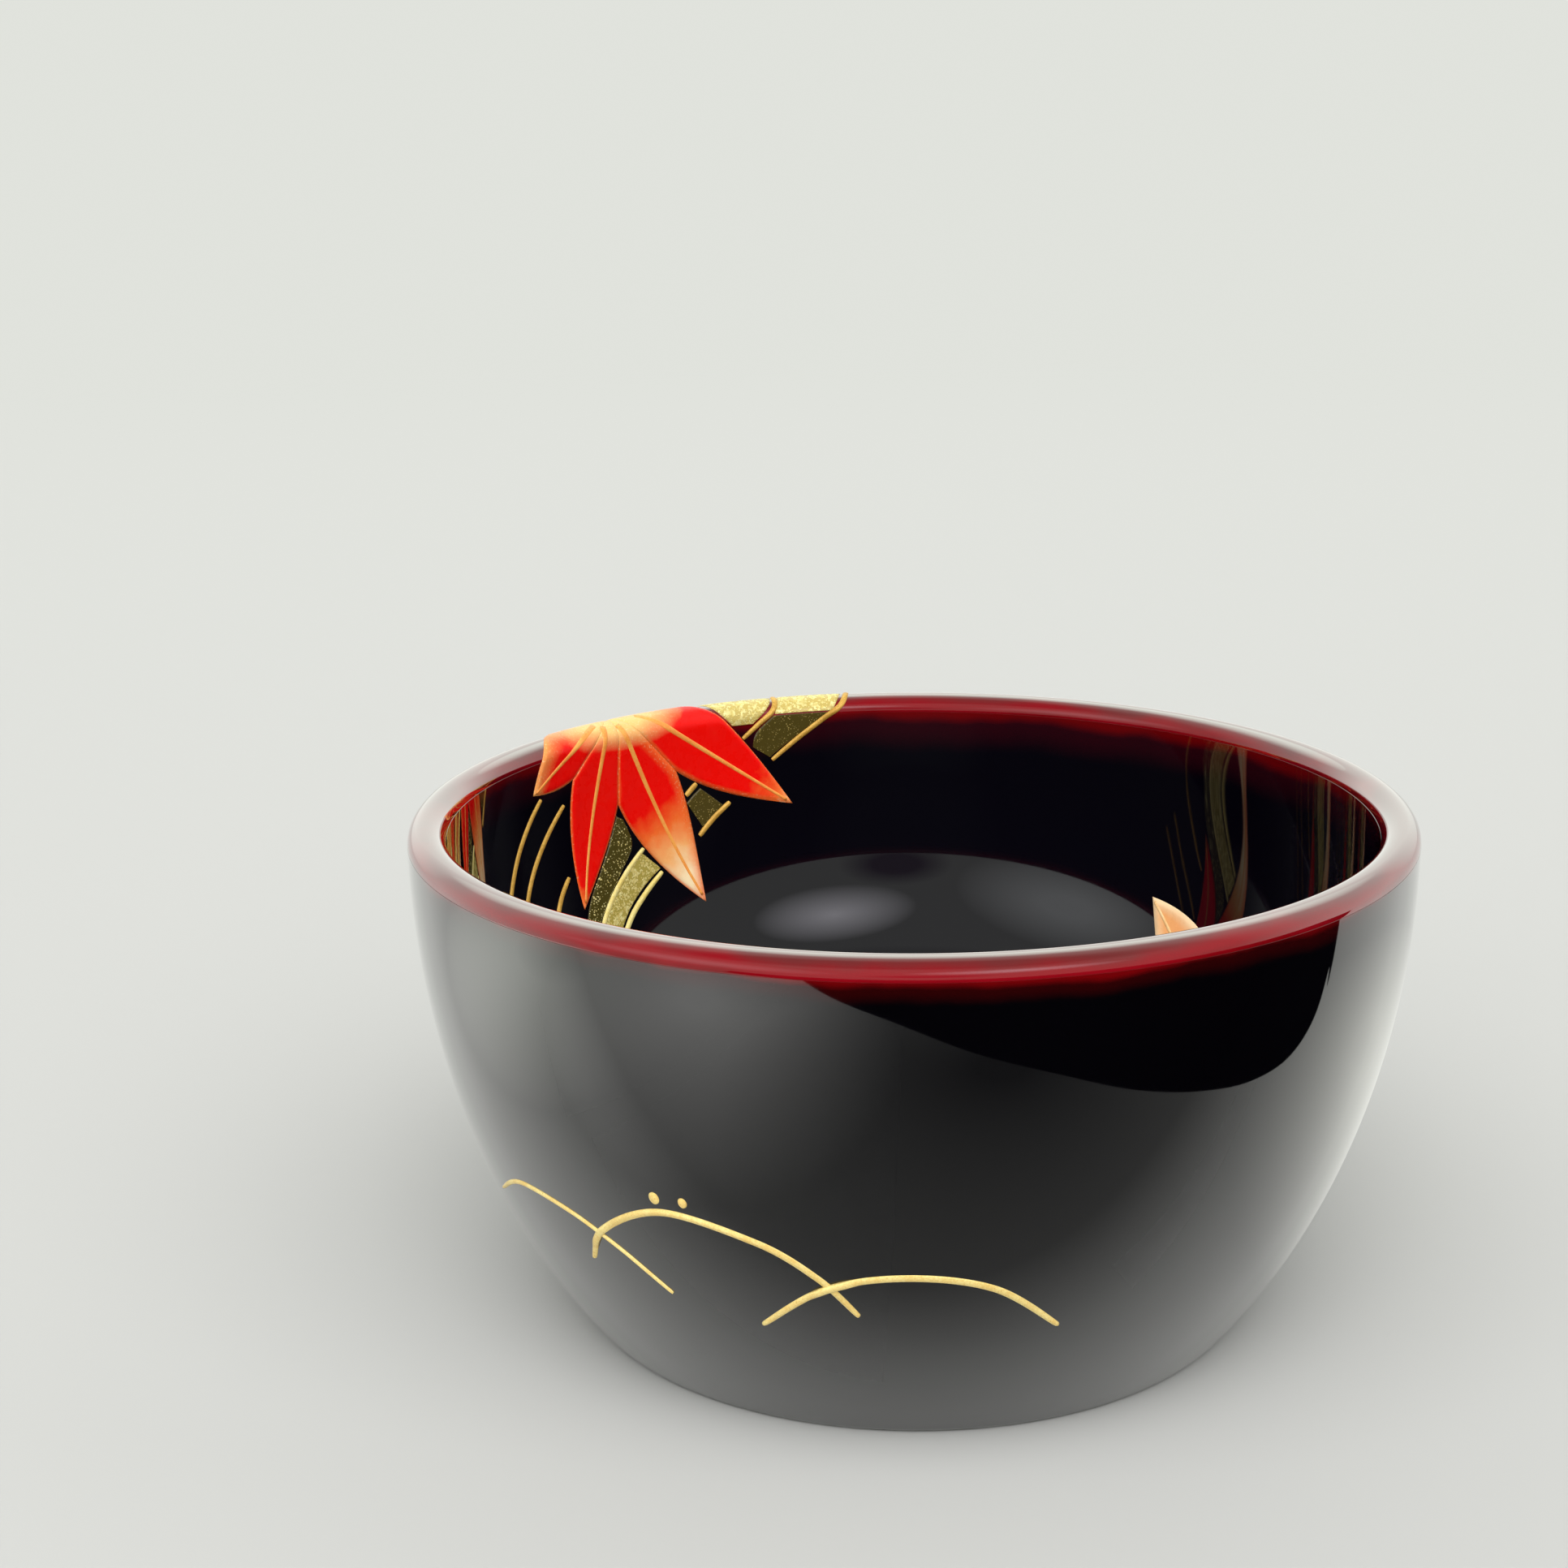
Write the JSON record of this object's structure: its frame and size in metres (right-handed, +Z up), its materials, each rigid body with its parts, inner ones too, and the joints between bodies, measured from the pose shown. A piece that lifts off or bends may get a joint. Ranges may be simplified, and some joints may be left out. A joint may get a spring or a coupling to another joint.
{
  "type": "lacquered wooden bowl",
  "caption": "Small turned wooden bowl in layered dark lacquer with a red lip, raised gold hills outside, and a raised maple leaf and stream crossing the lip.",
  "frame": {"origin": "on the bowl's axis, in the plane of the foot ring that it rests on", "axes": "+Z up along the bowl's axis; the hills are drawn on the -Y side, which is the front, and +X is to the right of it"},
  "size_m": [0.066, 0.066, 0.0342],
  "materials": {
    "wood": "turned, bare where it can be seen in a section",
    "ground": "matte clay and lacquer ground",
    "red_lacquer": "polished red lacquer",
    "dark_lacquer": "mirror-polished translucent dark lacquer over red",
    "gold": "gold dust on raised lacquer",
    "gold_powder": "sprinkled gold powder",
    "leaf_red": "raised red pigment lacquer, gold-dusted at the centre",
    "leaf_peach": "raised peach pigment lacquer"
  },
  "bodies": {
    "root": {"wood_core": "wood", "ground_inside": "ground", "ground_outside": "ground", "ground_foot": "ground", "red_coat_inside": "red_lacquer", "red_coat_outside": "red_lacquer", "dark_coat_inside": "dark_lacquer", "dark_coat_outside": "dark_lacquer", "dark_coat_foot": "dark_lacquer", "hill_line_left": "gold", "hill_line_middle": "gold", "hill_line_right": "gold", "gold_dot_left": "gold", "gold_dot_right": "gold", "big_leaf_lobe_1": "leaf_red", "big_leaf_lobe_2": "leaf_red", "big_leaf_lobe_3": "leaf_red", "big_leaf_lobe_4": "leaf_red", "big_leaf_lobe_5": "leaf_red", "big_leaf_lobe_6": "leaf_red", "big_leaf_lobe_7": "leaf_red", "big_leaf_veins": "gold", "big_leaf_stem": "gold", "low_leaf_lobe_1": "leaf_peach", "low_leaf_lobe_2": "leaf_peach", "low_leaf_lobe_3": "leaf_peach", "low_leaf_lobe_4": "leaf_peach", "low_leaf_lobe_5": "leaf_peach", "low_leaf_veins": "gold", "low_leaf_stem": "gold", "stream_line_1": "gold", "stream_line_2": "gold", "stream_line_3": "gold", "stream_line_4": "gold", "stream_line_5": "gold", "stream_line_6": "gold", "stream_line_7": "gold", "stream_line_8": "gold", "stream_line_9": "gold", "powder_low": "gold_powder", "powder_middle": "gold_powder", "powder_gap": "gold_powder", "powder_high": "gold_powder", "powder_lip": "gold_powder", "powder_rim": "gold_powder"}
  },
  "joints": []
}
